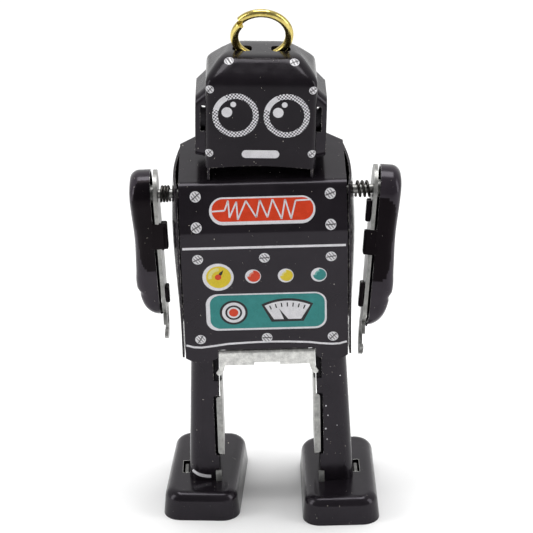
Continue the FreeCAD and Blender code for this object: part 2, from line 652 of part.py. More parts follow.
def leg_section(name, z, inset, open_side):
    inner = leg_inner_x(z) - open_side
    outer = leg_outer_x(name, z) - inset
    front = LEG_FRONT_Y + inset
    back = LEG_BACK_Y - inset
    points = [(inner, front), (outer, front), (outer, back), (inner, back)]
    return outline(points, [0, 2.0 - inset, 1.0 - inset, 0], plane_xy(z))


def leg_placed(shape, name):
    """The left leg's shape, put on its side and swung about the hip to its rest angle."""
    shape = on_side(shape, SIDES[name])
    return turned(shape, Vector(0, MOTION_Y, HIP_Z), X_AXIS, -LEG_REST[name])


def leg_shell(name):
    """Channel of black tin, open towards the other leg and trimmed flat over the foot's deck."""
    bottom = FOOT_DECK_Z - 1
    shell = Part.makeLoft([leg_section(name, bottom, 0, 0), leg_section(name, LEG_TOP_Z, 0, 0)],
                          True, True)
    core = Part.makeLoft([leg_section(name, bottom - 2, TIN, 1.0),
                          leg_section(name, LEG_TOP_Z + 2, TIN, 1.0)], True, True)
    shell = shell.cut(core)
    shell = shell.cut(block(*HOOK_SPACE))
    # long slot in the front, next to the inner edge
    slot = [(7.0, LEG_SLOT_LOW_Z), (LEG_SLOT_X, LEG_SLOT_LOW_Z), (LEG_SLOT_X, LEG_SLOT_HIGH_Z),
            (7.0, LEG_SLOT_HIGH_Z)]
    shell = shell.cut(prism(slot, 0.4, plane_xz(LEG_FRONT_Y - 1), Y_AXIS * 2))
    return leg_placed(shell, name).cut(block(-20, 20, -20, 20, 0, FOOT_DECK_Z + GAP))


def leg_plate(name):
    """Bright inner plate: a slotted lever above the hip, the leg's inner wall below it."""
    low = LEG_SLOT_LOW_Z - 0.4
    top = CRANK_Z + CRANK_THROW + CRANK_PIN + 1.25
    lever = [(MOTION_Y - 2.2, 24.0), (MOTION_Y + 2.2, 24.0), (MOTION_Y + 2.2, top),
             (MOTION_Y - 2.2, top)]
    plate = prism(lever, [0, 0, 1.4, 1.4], plane_yz(LEVER_X), X_AXIS * TIN)
    wall = [(LEG_FRONT_Y + 0.1, low), (LEG_BACK_Y - 0.1, low), (LEG_BACK_Y - 0.1, 28.6),
            (LEG_FRONT_Y + 0.1, 28.6)]
    plate = plate.fuse(prism(wall, [1.2, 2.4, 1.5, 0.8], plane_yz(LEVER_X), X_AXIS * TIN))
    # flange that fills the long slot of the black shell
    flange = [(LEVER_X, LEG_SLOT_LOW_Z + 0.3), (LEG_FLANGE_X, LEG_SLOT_LOW_Z + 0.3),
              (LEG_FLANGE_X, LEG_SLOT_HIGH_Z - 0.3), (LEVER_X, LEG_SLOT_HIGH_Z - 0.3)]
    flange = prism(flange, [0, 0.4, 0.4, 0], plane_xz(LEG_FRONT_Y + 0.1), Y_AXIS * TIN)
    plate = plate.fuse(flange).removeSplitter()
    plate = plate.cut(block(*HOOK_SPACE))
    slot_half = CRANK_PIN + 0.6
    inner_reach = CRANK_Z - CRANK_THROW - CRANK_PIN - 0.15
    outer_reach = CRANK_Z + CRANK_THROW + CRANK_PIN + 0.15
    slot = [(MOTION_Y - slot_half, inner_reach), (MOTION_Y + slot_half, inner_reach),
            (MOTION_Y + slot_half, outer_reach), (MOTION_Y - slot_half, outer_reach)]
    plate = plate.cut(prism(slot, 0.5, plane_yz(LEVER_X - 1), X_AXIS * 3))
    plate = plate.cut(rod(LEVER_X - 1, LEVER_X + 2, MOTION_Y, HIP_Z, HIP_AXLE + RUN))
    return leg_placed(plate, name)


def hip_axle():
    start = LEVER_X + TIN + 2 * GAP
    axle = rod(-start, start, MOTION_Y, HIP_Z, HIP_AXLE)
    for side in SIDES.values():
        axle = axle.fuse(on_side(rod(start, start + 0.5, MOTION_Y, HIP_Z, HIP_AXLE + 0.5), side))
    return axle.removeSplitter()


def foot_plan(shrink):
    half_x = FOOT_HALF_WIDTH - shrink
    half_y = FOOT_HALF_LENGTH - shrink
    return [(-half_x, -half_y), (half_x, -half_y), (half_x, half_y), (-half_x, half_y)]


def foot_placed(shape, name):
    """The foot's shape, about its own centre, put flat on the floor under its leg."""
    shape = turned(shape, ORIGIN, Z_AXIS, FOOT_YAW[name])
    shape.translate(Vector(FOOT_X[name], FOOT_Y[name], 0))
    return on_side(shape, SIDES[name])


def foot_block(inset, low):
    """Foot with sloping sides and a rounded deck, or the same drawn in by inset."""
    top = FOOT_DECK_Z - inset
    base = outline(foot_plan(inset), FOOT_CORNER - inset, plane_xy(low))
    deck = outline(foot_plan(inset + FOOT_DRAFT), FOOT_CORNER - inset, plane_xy(top))
    body = Part.makeLoft([base, deck], True, True)
    return round_edges(body, FOOT_ROUNDING - inset, lambda e: e.BoundBox.ZMin > top - 0.01)


def foot_slot(name):
    """Cutter for the slot in the deck beside the leg's outer face."""
    edge = leg_outer_x(name, FOOT_DECK_Z) + GAP
    front = leg_foot_y(name) + 2.6
    slot = block(edge, edge + FOOT_SLOT, front, front + 4.0, 3, 7)
    return on_side(slot, SIDES[name])


def foot_shell(name):
    """Pressed cover of the foot, open below, with a slot for the leg's tab."""
    shell = foot_placed(foot_block(0, 0).cut(foot_block(TIN, -1)), name)
    return shell.cut(foot_slot(name))


def foot_tab(name):
    """Small bright tab of the leg that stands on the deck at its inner front corner."""
    back = leg_foot_y(name) - 3 * GAP
    low = FOOT_DECK_Z + GAP
    tab = block(8.2, 9.15, back - TIN, back, low, low + 2.0)
    return on_side(tab, SIDES[name])


def foot_sole(name):
    """Flat plate that closes the foot; the floor is at its underside."""
    plan = foot_plan(TIN + GAP + 0.13)
    return foot_placed(prism(plan, FOOT_CORNER - TIN - GAP, plane_xy(0), Z_AXIS * 0.5), name)


# ---- arms -----------------------------------------------------------------------------
def arm_outline(inset, length, place):
    """Long rounded outline: wide at the shoulder, slightly narrower at the end."""
    top = ARM_TOP_RADIUS - inset
    end = ARM_END_RADIUS - inset
    tilt = math.asin((ARM_TOP_RADIUS - ARM_END_RADIUS) / length)
    low_z = SHOULDER_Z - length
    sides = []
    for sign in (1, -1):
        c = math.cos(tilt)
        s = math.sin(tilt)
        sides.append(((sign * top * c, SHOULDER_Z + top * -s), (sign * end * c, low_z - end * s)))
    (a_top, a_low), (b_top, b_low) = sides
    edges = [Part.Arc(place(*b_top), place(0, SHOULDER_Z + top), place(*a_top)).toShape(),
             Part.makeLine(place(*a_top), place(*a_low)),
             Part.Arc(place(*a_low), place(0, low_z - end), place(*b_low)).toShape(),
             Part.makeLine(place(*b_low), place(*b_top))]
    return Part.Wire(edges)


def arm_block(name, inset, depth, low, high, rounding):
    """The arm's outline between two heights, raised by depth and rounded on top."""
    start = ARM_X[name] + ARM_PLATE + ARM_SHELL_GAP
    back = start - (1.0 if inset else 0.0)
    face = Part.Face(arm_outline(inset, ARM_SHELL_LENGTH, plane_yz(back)))
    solid = face.extrude(X_AXIS * (start + depth - inset - back))
    solid = solid.common(block(back - 1, start + 9, -9, 9, low, high))
    return round_edges(solid, rounding - inset,
                       lambda e: e.BoundBox.XMin > start + depth - inset - 0.01)


def arm_solid(name, inset):
    """Forearm and shallower hand, which meet in a crease at the wrist."""
    wrist = SHOULDER_Z - WRIST_DROP
    top = SHOULDER_Z + ARM_TOP_RADIUS + 1
    forearm = arm_block(name, inset, ARM_SHELL_DEPTH, wrist + inset, top, 1.5)
    hand = arm_block(name, inset, HAND_DEPTH, 0, wrist + 1.1 - inset, 1.8)
    return forearm.fuse(hand)


def arm_placed(shape, name):
    """Leaned in, swung to its rest angle and put on its side."""
    pivot = Vector(ARM_X[name], 0, SHOULDER_Z)
    shape = turned(shape, pivot, Y_AXIS, ARM_LEAN[name])
    shape = turned(shape, pivot, X_AXIS, -ARM_SWING[name])
    return on_side(shape, SIDES[name])


def wrap_tab(name):
    """Tab from the shell's front rim, folded over the edge of the bright plate."""
    plate = ARM_X[name]
    start = plate + ARM_PLATE + ARM_SHELL_GAP
    inner = plate - GAP - TIN
    outer = Part.Face(arm_outline(0, ARM_SHELL_LENGTH, plane_yz(inner))).extrude(
        X_AXIS * (start - inner + 0.5))
    space = Part.Face(arm_outline(TIN, ARM_SHELL_LENGTH, plane_yz(inner + TIN))).extrude(
        X_AXIS * 9)
    fold = Part.Face(arm_outline(1.7, ARM_SHELL_LENGTH, plane_yz(inner - 1))).extrude(X_AXIS * 9)
    high, low = WRAP[name]
    rim = block(inner - 1, start + 1, -9, -1, SHOULDER_Z - low, SHOULDER_Z - high)
    return outer.cut(space).cut(fold).common(rim)


def arm_shell(name):
    shell = arm_solid(name, 0).cut(arm_solid(name, TIN))
    return arm_placed(shell.fuse(wrap_tab(name)).removeSplitter(), name)


def arm_plate(name):
    """Bright inner plate that ends in a flat C-shaped claw below the black shell."""
    plate_x = ARM_X[name]
    plate = Part.Face(arm_outline(0.1, ARM_SHELL_LENGTH, plane_yz(plate_x))).extrude(
        X_AXIS * ARM_PLATE)
    eye_z = SHOULDER_Z - CLAW_DROP
    claw = rod(plate_x, plate_x + ARM_PLATE, 0, eye_z, ARM_END_RADIUS)
    palm = block(plate_x, plate_x + ARM_PLATE, -1.7, 1.7, eye_z, eye_z + 4)
    plate = plate.fuse([claw, palm]).removeSplitter()
    plate = plate.cut(rod(plate_x - 1, plate_x + 2, 0, eye_z, CLAW_EYE))
    plate = plate.cut(block(plate_x - 1, plate_x + 2, -5, 0, eye_z - CLAW_MOUTH,
                            eye_z + CLAW_MOUTH * 0.6))
    # notch under the tab of the black shell
    inside = Part.Face(arm_outline(TIN + 2 * GAP, ARM_SHELL_LENGTH, plane_yz(plate_x - 1))).extrude(
        X_AXIS * 4)
    high, low = WRAP[name]
    notch = block(plate_x - 1, plate_x + 2, -9, -1, SHOULDER_Z - low - GAP,
                  SHOULDER_Z - high + GAP)
    plate = arm_placed(plate.cut(notch.cut(inside)), name)
    return plate.cut(rod(-22, 22, 0, SHOULDER_Z, SHOULDER_RIVET))


def shoulder_rivet(name):
    """Pin of the arm: a head behind the side panel, a running shank, a head on the plate."""
    outer = ARM_X[name] + ARM_PLATE
    shank = rod(12.4, outer + 0.3, 0, SHOULDER_Z, SHOULDER_RIVET)
    inside = rod(12.1, 12.9, 0, SHOULDER_Z, SHOULDER_RIVET + 0.9)
    outside = rod(outer + 0.25, outer + 0.75, 0, SHOULDER_Z, SHOULDER_RIVET + 0.7)
    return on_side(shank.fuse([inside, outside]).removeSplitter(), SIDES[name])


def shoulder_spring(name):
    """Spring on the rivet's shank, from the side panel to the arm's plate."""
    room = ARM_X[name] - SPRING_START - 3 * SPRING_WIRE
    spring = coil(SPRING_START + SPRING_WIRE, SPRING_TURNS, room / SPRING_TURNS, 1.2, SPRING_WIRE,
                  0, SHOULDER_Z)
    return on_side(spring, SIDES[name])


# ---- everything -----------------------------------------------------------------------
def main():
    os.makedirs("parts", exist_ok=True)
    write("torso_front_panel", torso_front_panel())
    write("torso_back_panel", torso_back_panel())
    write("torso_floor_plate", torso_floor_plate())
    write("hip_crossbar", hip_crossbar())
    write("head_shell", head_shell())
    write("hanging_ring", hanging_ring())
    write("motor_pillars", motor_pillars())
    write("mainspring", mainspring())
    write("winding_arbor", winding_arbor())
    write("clutch_spring", clutch_spring())
    write("great_wheel", great_wheel())
    write("crankshaft", rod(-DISC_X - DISC_WIDTH, DISC_X + DISC_WIDTH, MOTION_Y, CRANK_Z, CRANKSHAFT))
    write("crank_pinion", crank_pinion())
    write("crank_wheel", crank_wheel())
    write("governor_arbor", rod(-6.3, 6.3, GOVERNOR_Y, GOVERNOR_Z, GOVERNOR_ARBOR))
    write("governor_pinion", governor_pinion())
    write("governor_vane", governor_vane())
    write("hip_axle", hip_axle())
    torso_side = torso_side_panel()
    plate = motor_plate()
    for name, side in SIDES.items():
        write("torso_" + name + "_panel", on_side(torso_side, side))
        write("head_" + name + "_panel", head_side_panel(side))
        write("motor_" + name + "_plate", on_side(plate, side))
        write("crank_" + name + "_disc", crank_disc(side))
        write("leg_" + name + "_shell", leg_shell(name))
        write("leg_" + name + "_plate", leg_plate(name))
        write("foot_" + name + "_shell", foot_shell(name))
        write("foot_" + name + "_sole", foot_sole(name))
        write("foot_" + name + "_tab", foot_tab(name))
        write("shoulder_" + name + "_rivet", shoulder_rivet(name))
        write("shoulder_" + name + "_spring", shoulder_spring(name))
        write("arm_" + name + "_shell", arm_shell(name))
        write("arm_" + name + "_plate", arm_plate(name))


main()
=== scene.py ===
"""Looks of the miniature tin robot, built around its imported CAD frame."""

import json
import math

import bmesh
import bpy
from mathutils import Matrix, Vector
from mathutils.bvhtree import BVHTree


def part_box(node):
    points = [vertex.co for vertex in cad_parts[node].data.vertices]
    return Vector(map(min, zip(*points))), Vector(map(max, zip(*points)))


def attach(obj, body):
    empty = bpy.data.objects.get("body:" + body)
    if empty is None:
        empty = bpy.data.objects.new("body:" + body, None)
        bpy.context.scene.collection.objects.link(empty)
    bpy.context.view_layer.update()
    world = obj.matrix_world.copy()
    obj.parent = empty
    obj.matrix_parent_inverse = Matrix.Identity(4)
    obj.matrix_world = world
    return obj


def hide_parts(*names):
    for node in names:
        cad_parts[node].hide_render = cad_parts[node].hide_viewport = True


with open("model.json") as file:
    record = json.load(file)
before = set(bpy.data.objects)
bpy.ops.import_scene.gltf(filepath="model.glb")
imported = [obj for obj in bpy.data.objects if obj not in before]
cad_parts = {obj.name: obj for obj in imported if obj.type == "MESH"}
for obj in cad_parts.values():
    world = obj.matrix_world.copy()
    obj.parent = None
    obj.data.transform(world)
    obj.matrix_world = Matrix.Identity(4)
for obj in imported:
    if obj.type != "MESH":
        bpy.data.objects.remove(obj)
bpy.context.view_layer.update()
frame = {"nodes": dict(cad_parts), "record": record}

# Positions below are millimetres from the middle of the torso: x to the robot's left, y to its
# back and z up from the floor. The front panel's box, taken from the frame, says where that is.
MM = 0.001
SIDES = {"left": 1.0, "right": -1.0}
PANEL_BACK_Y = 8.4             # rear edge of the torso's front panel
torso_low, torso_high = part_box("torso_front_panel")
MIDDLE = Vector(((torso_low.x + torso_high.x) / 2, torso_high.y - PANEL_BACK_Y * MM, 0.0))
HEAD_TILT = math.radians(2.3)  # the head leans towards the robot's left about this height
HEAD_TILT_Z = 68.5


def place(x, y, z):
    return MIDDLE + Vector((x, y, z)) * MM


def tilted(x, z):
    """A point of the upright head, where the tilted head has it."""
    rise = z - HEAD_TILT_Z
    return (x * math.cos(HEAD_TILT) + rise * math.sin(HEAD_TILT),
            HEAD_TILT_Z - x * math.sin(HEAD_TILT) + rise * math.cos(HEAD_TILT))


# ---- material building ------------------------------------------------------------------
class Nodes:
    """Shorthand for wiring one material; lengths are millimetres, noise is cells per millimetre."""

    def __init__(self, name):
        self.material = bpy.data.materials.new(name)
        self.material.use_nodes = True
        self.tree = self.material.node_tree
        self.shader = self.tree.nodes["Principled BSDF"]
        coords = self.tree.nodes.new("ShaderNodeTexCoord")
        self.place = coords.outputs["Object"]

    def node(self, kind, inputs=None, **settings):
        made = self.tree.nodes.new("ShaderNode" + kind)
        for key, value in settings.items():
            setattr(made, key, value)
        for key, value in (inputs or {}).items():
            self.feed(made.inputs[key], value)
        return made

    def feed(self, socket, value):
        if isinstance(value, bpy.types.NodeSocket):
            self.tree.links.new(value, socket)
        else:
            socket.default_value = value

    def scaled(self, x, y, z):
        """Object coordinates in cells per millimetre."""
        return self.node("Mapping", {"Vector": self.place,
                                     "Scale": (x / MM, y / MM, z / MM)}).outputs[0]

    def noise(self, scale, detail=3.0, rough=0.5, stretch=(1, 1, 1)):
        where = self.scaled(scale * stretch[0], scale * stretch[1], scale * stretch[2])
        return self.node("TexNoise", {"Vector": where, "Scale": 1.0, "Detail": detail,
                                      "Roughness": rough}).outputs["Fac"]

    def ramp(self, value, low, high, out_low=0.0, out_high=1.0):
        return self.node("MapRange", {"Value": value, "From Min": low, "From Max": high,
                                      "To Min": out_low, "To Max": out_high}).outputs[0]

    def math(self, operation, a, b):
        return self.node("Math", {0: a, 1: b}, operation=operation, use_clamp=True).outputs[0]

    def mix(self, fac, a, b):
        made = self.node("Mix", {"Factor": fac}, data_type="RGBA")
        self.feed(made.inputs[6], a)
        self.feed(made.inputs[7], b)
        return made.outputs[2]

    def edges(self, radius):
        """1 on sharp edges, 0 on flat metal."""
        bevel = self.node("Bevel", {"Radius": radius * MM}, samples=6).outputs[0]
        plain = self.node("NewGeometry").outputs["Normal"]
        dot = self.node("VectorMath", {0: bevel, 1: plain}, operation="DOT_PRODUCT")
        return self.ramp(dot.outputs["Value"], 0.995, 0.88)

    def bump(self, height, strength, distance):
        made = self.node("Bump", {"Height": height, "Strength": strength,
                                  "Distance": distance * MM})
        self.feed(self.shader.inputs["Normal"], made.outputs[0])

    def set(self, **values):
        for key, value in values.items():
            self.feed(self.shader.inputs[key.replace("_", " ")], value)


def colour(r, g, b):
    return (r, g, b, 1.0)


def black_tin(name, wear=0.5, tone=1.0, tint=(1.0, 0.94, 1.05, 1.0)):
    """Gloss black ink over tinplate: bright where an edge or a speck has lost its ink."""
    m = Nodes(name)
    cloud = m.noise(0.18, 3.0)
    thick = colour(0.0078 * tone, 0.0062 * tone, 0.0082 * tone)
    thin = colour(0.0120 * tone, 0.0096 * tone, 0.0125 * tone)
    film = m.mix(m.ramp(cloud, 0.35, 0.65), thick, thin)
    breakup = m.ramp(m.noise(1.9, 4.0, 0.65), 0.62 - 0.16 * wear, 0.70 - 0.10 * wear)
    edge = m.math("MULTIPLY", m.edges(0.10), breakup)
    speck = m.ramp(m.noise(2.6, 2.0, 0.5), 0.780, 0.79)
    bare = m.math("MAXIMUM", edge, speck)
    tin = m.mix(m.noise(3.5), colour(0.30, 0.28, 0.25), colour(0.55, 0.53, 0.50))
    dust = m.ramp(m.noise(3.3, 1.0, 0.4), 0.800, 0.812)
    m.set(Base_Color=m.mix(dust, m.mix(bare, film, tin), colour(0.62, 0.58, 0.50)), Metallic=bare,
          Roughness=m.ramp(m.noise(0.7, 4.0, 0.6), 0.3, 0.7, 0.13, 0.25), IOR=1.34,
          Specular_Tint=tint)
    peel = m.noise(1.1, 3.0, 0.55)
    dents = m.noise(0.12, 1.0)
    m.bump(m.math("ADD", m.math("MULTIPLY", peel, 0.12), dents), 0.22, 0.35)
    return m.material


def bright_tin(name, light=1.0, dull=0.0):
    """Bare tinplate with rolling marks, fingered stains and fine scratches."""
    m = Nodes(name)
    brushed = m.noise(2.2, 4.0, 0.6, (1.0, 1.0, 0.12))
    mottle = m.noise(0.9, 5.0, 0.7)
    speckle = m.ramp(m.noise(6.0, 2.0), 0.55, 0.75)
    base = m.mix(m.ramp(mottle, 0.35, 0.68), colour(0.42 * light, 0.42 * light, 0.41 * light),
                 colour(0.78 * light, 0.78 * light, 0.75 * light))
    stained = m.mix(m.math("MULTIPLY", speckle, 0.35 + dull), base, colour(0.22, 0.21, 0.19))
    edge = m.edges(0.08)
    m.set(Base_Color=m.mix(m.math("MULTIPLY", edge, 0.5), stained, colour(0.9, 0.9, 0.88)),
          Metallic=0.85, Roughness=m.ramp(brushed, 0.3, 0.7, 0.30, 0.52))
    m.bump(m.math("ADD", m.math("MULTIPLY", brushed, 0.5), m.math("MULTIPLY", mottle, 0.5)),
           0.35, 0.05)
    return m.material


def brass(name, shine=0.13, tone=(0.72, 0.60, 0.20)):
    """Drawn or stamped brass with a little tarnish."""
    m = Nodes(name)
    cloud = m.noise(0.7, 4.0, 0.6)
    drawn = m.noise(3.0, 3.0, 0.6, (1.0, 1.0, 0.3))
    dark = colour(tone[0] * 0.62, tone[1] * 0.56, tone[2] * 0.45)
    m.set(Base_Color=m.mix(m.ramp(cloud, 0.35, 0.7), colour(*tone), dark), Metallic=1.0,
          Roughness=m.ramp(drawn, 0.3, 0.7, shine, shine + 0.14))
    m.bump(drawn, 0.15, 0.03)
    return m.material


def dark_steel(name):
    """Blued spring wire."""
    m = Nodes(name)
    cloud = m.noise(1.6, 4.0, 0.6)
    m.set(Base_Color=m.mix(m.ramp(cloud, 0.35, 0.7), colour(0.035, 0.032, 0.030),
                           colour(0.16, 0.15, 0.14)),
          Metallic=0.9, Roughness=m.ramp(cloud, 0.3, 0.7, 0.28, 0.45))
    m.bump(cloud, 0.2, 0.03)
    return m.material


def ink(name, rgb, gloss=0.28):
    """Litho ink: a little uneven, with a faint printed grain."""
    m = Nodes(name)
    grain = m.noise(9.0, 2.0, 0.5)
    cloud = m.noise(0.8, 3.0)
    darker = colour(*[c * 0.80 for c in rgb])
    shade = m.mix(m.ramp(grain, 0.42, 0.62), colour(*rgb), darker)
    pale = colour(*[min(1.0, c * 1.12 + 0.01) for c in rgb])
    m.set(Base_Color=m.mix(m.ramp(cloud, 0.45, 0.75, 0.0, 0.6), shade, pale),
          Roughness=m.ramp(grain, 0.3, 0.7, gloss, gloss + 0.1), IOR=1.35)
    m.bump(grain, 0.12, 0.01)
    return m.material


def halftone(name, rgb, dark, pitch, crossed=True):
    """Ink laid down as a slanted screen of crossed dots, or of lines, pitch millimetres apart."""
    m = Nodes(name)
    slant = math.radians(6 if crossed else 38)
    turned = m.node("Mapping", {"Vector": m.place, "Rotation": (0.0, slant, 0.0),
                                "Scale": (1 / MM, 1 / MM, 1 / MM)}).outputs[0]
    if crossed:
        flat = m.node("Mapping", {"Vector": turned, "Scale": (1.0, 0.0, 1.0)}).outputs[0]
        screen = m.node("TexChecker", {"Vector": flat, "Scale": 2 / pitch,
                                       "Color1": colour(1, 1, 1), "Color2": colour(0, 0, 0)})
    else:
        screen = m.node("TexWave", {"Vector": turned, "Scale": 0.314 / pitch, "Distortion": 0.5,
                                    "Detail": 1.0, "Detail Scale": 2.0}, bands_direction="X")
    marks = screen.outputs["Fac"]
    m.set(Base_Color=m.mix(m.ramp(marks, 0.3, 0.6), colour(*rgb), colour(*dark)),
          Roughness=m.ramp(marks, 0.0, 1.0, 0.26, 0.36))
    m.bump(marks, 0.1, 0.01)
    return m.material


# ---- meshes -----------------------------------------------------------------------------
def mesh_object(name, verts, faces, materials, indices=None, smooth=False):
    data = bpy.data.meshes.new(name)
    data.from_pydata(verts, [], faces)
    for material in materials:
        data.materials.append(material)
    if indices:
        data.polygons.foreach_set("material_index", indices)
    if smooth:
        data.polygons.foreach_set("use_smooth", [True] * len(data.polygons))
    data.update()
    made = bpy.data.objects.new(name, data)
    bpy.context.scene.collection.objects.link(made)
    return made


def tidy_normals(made):
    """Turn every face outwards."""
    mesh = bmesh.new()
    mesh.from_mesh(made.data)
    bmesh.ops.recalc_face_normals(mesh, faces=mesh.faces)
    mesh.to_mesh(made.data)
    mesh.free()


def pressed_sheet(made, thickness, cutters=()):
    """Give the skin its thickness, cut its holes, and keep its edges crisp."""
    sheet = made.modifiers.new("sheet", "SOLIDIFY")
    sheet.thickness = thickness * MM
    sheet.offset = -1
    for plug in cutters:
        hole = made.modifiers.new("hole", "BOOLEAN")
        hole.operation = "DIFFERENCE"
        hole.object = plug
    bpy.context.view_layer.update()
    pressed = made.evaluated_get(bpy.context.evaluated_depsgraph_get())
    whole = bpy.data.meshes.new_from_object(pressed)
    whole.set_sharp_from_angle(angle=math.radians(40))
    made.modifiers.clear()
    made.data = whole
    for plug in cutters:
        bpy.data.objects.remove(plug)


def block(name, corners, material, rounding, segments):
    """A block with softened edges; its corners count up with z fastest, then y, then x."""
    faces = [(0, 1, 3, 2), (4, 6, 7, 5), (0, 4, 5, 1), (2, 3, 7, 6), (0, 2, 6, 4), (1, 5, 7, 3)]
    made = mesh_object(name, corners, faces, [material])
    tidy_normals(made)
    soft = made.modifiers.new("soft", "BEVEL")
    soft.width = rounding * MM
    soft.segments = segments
    return made


def circle(x, z, radius, start=0.0, end=2 * math.pi, steps=48):
    """Points of an arc, both ends included."""
    return [(x + radius * math.cos(start + (end - start) * i / steps),
             z + radius * math.sin(start + (end - start) * i / steps)) for i in range(steps + 1)]


def rounded_box(x0, x1, z0, z1, radius, steps=8):
    """Outline of an upright box with round corners."""
    points = []
    corners = ((x1 - radius, z1 - radius, 0), (x0 + radius, z1 - radius, 90),
               (x0 + radius, z0 + radius, 180), (x1 - radius, z0 + radius, 270))
    for x, z, angle in corners:
        first = math.radians(angle)
        points += circle(x, z, radius, first, first + math.pi / 2, steps)
    return points


# ---- printing ---------------------------------------------------------------------------
PRINT_LIFT = 0.012             # first layer of ink above the tin
PRINT_STEP = 0.006             # each further layer
FILL_RINGS = 5


class Printing:
    """Ink laid on a CAD node or a skin: outlines are given as (x, z) in millimetres and dropped on
    its surface along +Y, or along a direction that dips by some degrees about a point (y, z)."""

    def __init__(self, name, node, inks, head=False, dip=0.0, about=(0.0, 0.0)):
        self.name = name
        self.inks = inks
        self.head = head
        self.about = about
        self.ray = Vector((0, math.cos(math.radians(dip)), -math.sin(math.radians(dip))))
        self.rise = Vector((0, math.sin(math.radians(dip)), math.cos(math.radians(dip))))
        self.order = list(inks)
        target = frame["nodes"][node] if isinstance(node, str) else node
        mesh = target.data
        mesh.calc_loop_triangles()
        self.tree = BVHTree.FromPolygons([v.co for v in mesh.vertices],
                                         [t.vertices for t in mesh.loop_triangles])
        self.verts = []
        self.faces = []
        self.indices = []

    def drop(self, x, z, layer):
        """Where a point of the outline lands."""
        if self.head:
            x, z = tilted(x, z)
        y_about, z_about = self.about
        start = place(x, y_about, z_about) + self.rise * (z - z_about) * MM - self.ray * 0.05
        hit, normal, _, _ = self.tree.ray_cast(start, self.ray)
        if hit is None:
            raise ValueError(f"{self.name}: no tin under {x:.2f}, {z:.2f}")
        if normal.dot(self.ray) > 0:
            normal = -normal
        return hit + normal * (PRINT_LIFT + PRINT_STEP * layer) * MM

    def fill(self, points, which, layer=0):
        """A filled outline, as rings about its middle, so that it follows a bend in the tin."""
        middle = (sum(p[0] for p in points) / len(points), sum(p[1] for p in points) / len(points))
        start = len(self.verts)
        self.verts.append(self.drop(*middle, layer))
        count = len(points)
        for ring in range(1, FILL_RINGS + 1):
            share = ring / FILL_RINGS
            self.verts += [self.drop(middle[0] + (x - middle[0]) * share,
                                     middle[1] + (z - middle[1]) * share, layer) for x, z in points]
        for ring in range(FILL_RINGS):
            near = start + 1 + (ring - 1) * count
            far = start + 1 + ring * count
            for i in range(count):
                j = (i + 1) % count
                face = (near + i, far + i, far + j, near + j) if ring else (start, far + i, far + j)
                self.faces.append(face)
                self.indices.append(self.order.index(which))

    def band(self, outer, inner, which, layer=0):
        """The strip between two open lines with as many points each."""
        start = len(self.verts)
        count = len(outer)
        self.verts += [self.drop(x, z, layer) for x, z in list(outer) + list(inner)]
        for i in range(start, start + count - 1):
            self.faces.append((i, i + 1, count + i + 1, count + i))
            self.indices.append(self.order.index(which))

    def disc(self, x, z, radius, which, layer=0):
        self.fill(circle(x, z, radius)[:-1], which, layer)

    def ring(self, x, z, outer, inner, which, layer=0, start=0.0, end=360.0):
        """A ring, or the part of one between two angles in degrees."""
        a, b = math.radians(start), math.radians(end)
        self.band(circle(x, z, outer, a, b), circle(x, z, inner, a, b), which, layer)

    def stroke(self, points, width, which, layer=0):
        """A line of even width along open points."""
        left, right = [], []
        for i, point in enumerate(points):
            before = Vector(points[max(i - 1, 0)])
            after = Vector(points[min(i + 1, len(points) - 1)])
            here = Vector(point)
            runs = [run.normalized() for run in (here - before, after - here) if run.length > 0]
            run = sum(runs, Vector((0, 0))).normalized()
            across = Vector((-run.y, run.x)) / max(run.dot(runs[0]), 0.35) * width / 2
            left.append(here + across)
            right.append(here - across)
        self.band(left, right, which, layer)

    def screw(self, x, z, radius, slant, layer=0):
        """A printed slotted screw head, its slot turned by slant degrees."""
        self.disc(x, z, radius, "silver", layer)
        self.ring(x, z, radius, radius * 0.84, "white", layer + 1)
        a = math.radians(slant)
        half = radius * 0.92
        self.stroke([(x + half * i / 4 * math.cos(a), z + half * i / 4 * math.sin(a))
                     for i in range(-4, 5)], radius * 0.22, "slot", layer + 4)

    def finish(self, body="root"):
        """Make the piece, facing outwards, and let it ride on its body."""
        made = mesh_object(self.name, self.verts, self.faces, [self.inks[k] for k in self.order],
                           self.indices)
        for polygon in made.data.polygons:
            if polygon.normal.dot(self.ray) > 0:
                polygon.flip()
        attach(made, body)


# ---- the head's pressed skin, softer than the CAD sheet -----------------------------------
HEAD_HALF = 8.75
HEAD_FRONT = -6.9
HEAD_BACK = 6.3
HEAD_ROWS = (62.0, 64.0, 66.0, 68.0, 70.0, 72.0, 73.5, 74.4)    # heights of the straight part
HEAD_CORNER = 1.1
HEAD_SHEET = 0.35
HEAD_TOP = 79.0
RING_HOLE_X = 3.05
RING_HOLE_Y = 0.3
RING_HOLE_HALF = (1.55, 1.32)  # along x and y
# height, then how far the front, the back and the sides have drawn in, and the corner radius
CROWN = ((75.0, 0.0, 0.0, 0.0, 1.1), (75.6, 0.06, 0.03, 0.05, 1.15), (76.1, 0.22, 0.1, 0.2, 1.3),
         (76.55, 0.55, 0.25, 0.48, 1.5), (77.1, 1.12, 0.45, 0.95, 1.7),
         (77.7, 1.78, 0.68, 1.5, 1.9), (78.2, 2.32, 0.95, 2.0, 2.1), (78.55, 2.72, 1.25, 2.45, 2.2),
         (78.8, 3.12, 1.65, 2.95, 2.3), (78.93, 3.6, 2.2, 3.6, 2.3), (78.99, 4.3, 3.0, 4.4, 2.0),
         (HEAD_TOP, 5.1, 4.0, 5.4, 1.5))


